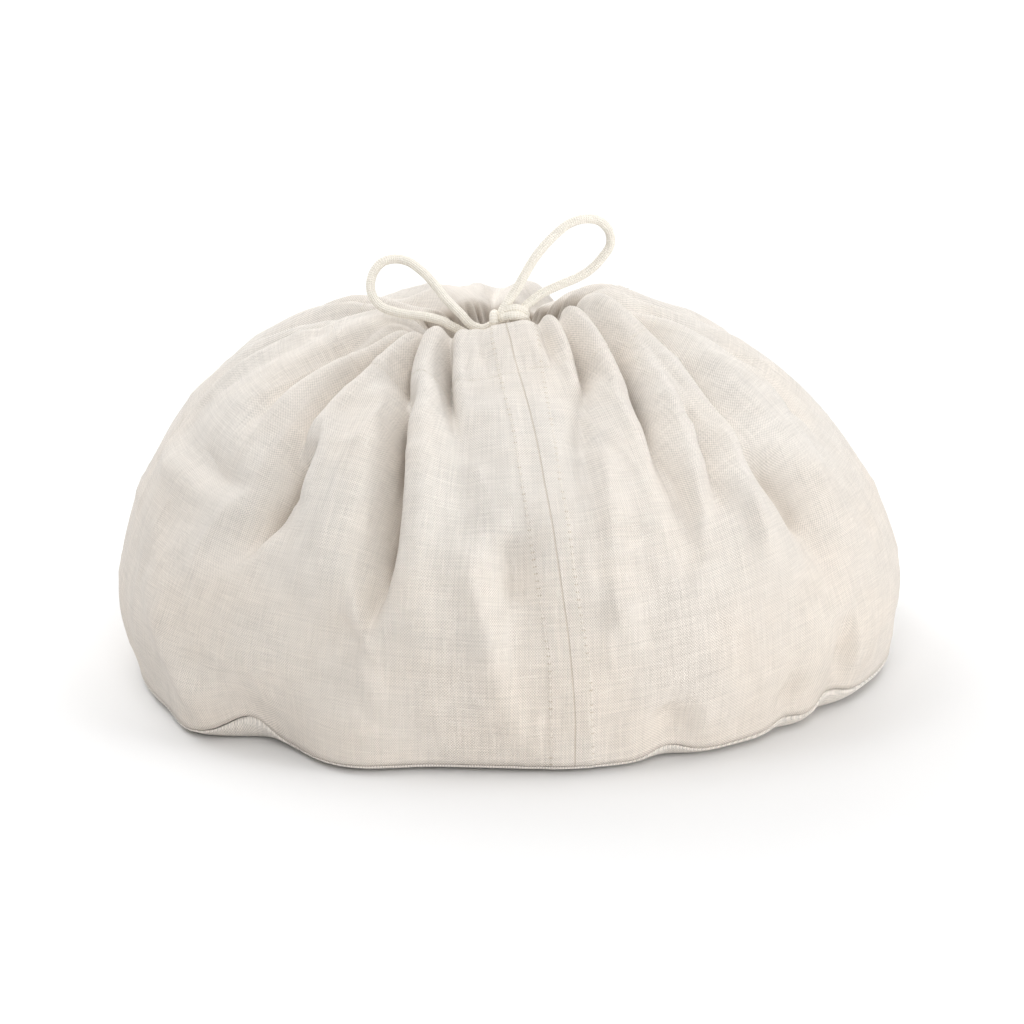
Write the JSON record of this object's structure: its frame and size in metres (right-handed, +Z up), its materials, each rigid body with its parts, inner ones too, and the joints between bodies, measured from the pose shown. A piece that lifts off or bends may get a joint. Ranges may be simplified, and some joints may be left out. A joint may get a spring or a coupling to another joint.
{
  "type": "linen bread bag",
  "caption": "Full, gathered drawstring bag of natural linen standing on its round base, its mouth rolled inward and a cord bow behind the rim.",
  "frame": {"origin": "middle of the base panel's flat underside, on the surface that the bag stands on", "axes": "+Z up through the mouth; -Y towards the front, where the upright seam is; +X to the bag's right as seen from the front"},
  "size_m": [0.3405, 0.3074, 0.1982],
  "materials": {
    "wall_linen": "plain weave natural linen, matte",
    "base_linen": "plain weave natural linen, matte",
    "drawstring": "braided cotton cord, matte"
  },
  "bodies": {
    "root": {"wall_panel": "wall_linen", "base_panel": "base_linen", "bow_left_loop": "drawstring", "bow_right_loop": "drawstring", "bow_knot": "drawstring"}
  },
  "joints": []
}
